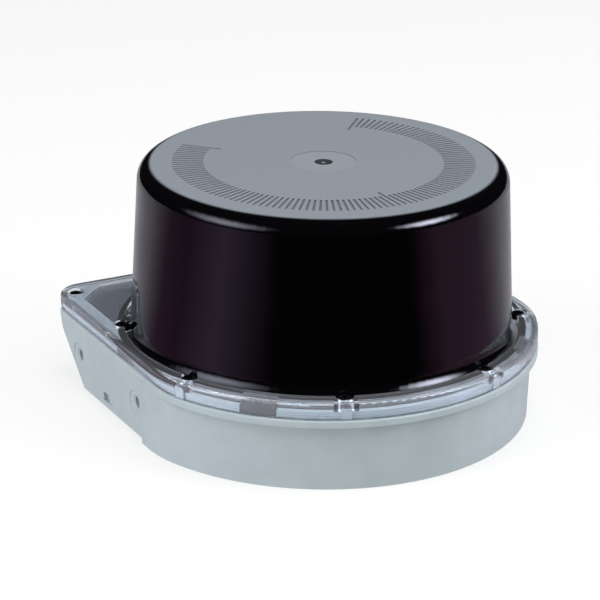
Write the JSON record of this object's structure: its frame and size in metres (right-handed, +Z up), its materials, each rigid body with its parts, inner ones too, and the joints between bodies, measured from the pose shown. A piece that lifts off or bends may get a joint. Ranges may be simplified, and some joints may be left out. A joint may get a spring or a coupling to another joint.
{
  "type": "laser scanner",
  "caption": "Compact laser scanner: cast base with a squared rear, clear cover ring, dark optics dome with a satin top, and round connectors on the slanted rear wall.",
  "frame": {"origin": "on the scan axis, where it meets the flat mounting face", "axes": "+Z up along the scan axis, -Y the front (middle of the scanned field), +Y the squared rear"},
  "size_m": [0.15, 0.1527, 0.0925],
  "materials": {
    "painted_casting": "light grey paint, fine satin",
    "clear_plastic": "clear polycarbonate, polished",
    "dome_plastic": "dark infrared-transparent plastic, polished sides and satin grey top",
    "black_rubber": "smooth moulded rubber",
    "grey_silicone": "smooth moulded silicone",
    "liner_plastic": "matt moulded plastic",
    "screw_steel": "stainless steel",
    "bearing_steel": "ground steel",
    "connector_metal": "nickel plated",
    "black_plastic": "glass-filled plastic",
    "contact_gold": "gold plated",
    "circuit_board": "solder mask",
    "board_components": "moulded component bodies",
    "bare_aluminium": "machined",
    "black_aluminium": "black anodised",
    "core_steel": "stacked laminations",
    "copper_wire": "enamelled copper",
    "magnet": "bonded magnet",
    "mirror_glass": "first-surface coating",
    "lens_glass": "polished, coated",
    "lamp": "lamp body",
    "brass": "machined"
  },
  "bodies": {
    "housing": {"base_housing": "painted_casting", "clear_cover": "clear_plastic", "rim_gasket": "grey_silicone", "corner_liner": "liner_plastic", "status_led_boards": "black_plastic", "status_leds": "lamp", "optics_dome": "dome_plastic", "dome_gasket": "black_rubber", "dome_screws": "screw_steel", "corner_screws": "screw_steel", "power_connector": "connector_metal", "data_connector": "connector_metal", "io_connector": "connector_metal", "connector_nuts": "connector_metal", "connector_seals": "black_rubber", "contact_carriers": "black_plastic", "contact_pins": "contact_gold", "connector_board": "circuit_board", "main_board": "circuit_board", "board_parts": "board_components", "board_screws": "screw_steel", "chassis_plate": "bare_aluminium", "plate_screws": "screw_steel", "bearing_tube": "bare_aluminium", "tube_screws": "screw_steel", "lower_bearing": "bearing_steel", "upper_bearing": "bearing_steel", "stator_core": "core_steel", "stator_coils": "copper_wire", "encoder_reader": "black_plastic", "optics_bridge": "black_aluminium", "bridge_screws": "screw_steel", "lens_barrel": "black_aluminium", "receiver_lens": "lens_glass", "laser_module": "brass", "receiver_board": "circuit_board", "detector_chip": "black_plastic"},
    "rotor": {"rotor_shaft": "bearing_steel", "shaft_clip": "screw_steel", "rotor_hub": "bare_aluminium", "magnet_ring": "magnet", "encoder_disc": "black_aluminium", "mirror_carrier": "black_aluminium", "scan_mirror": "mirror_glass", "balance_weight": "brass"}
  },
  "joints": [
    {"name": "rotor_spin", "type": "hinge", "parent": "housing", "child": "rotor", "pos_m": [0, 0, 0.03], "axis": [0, 0, 1], "continuous": true}
  ]
}
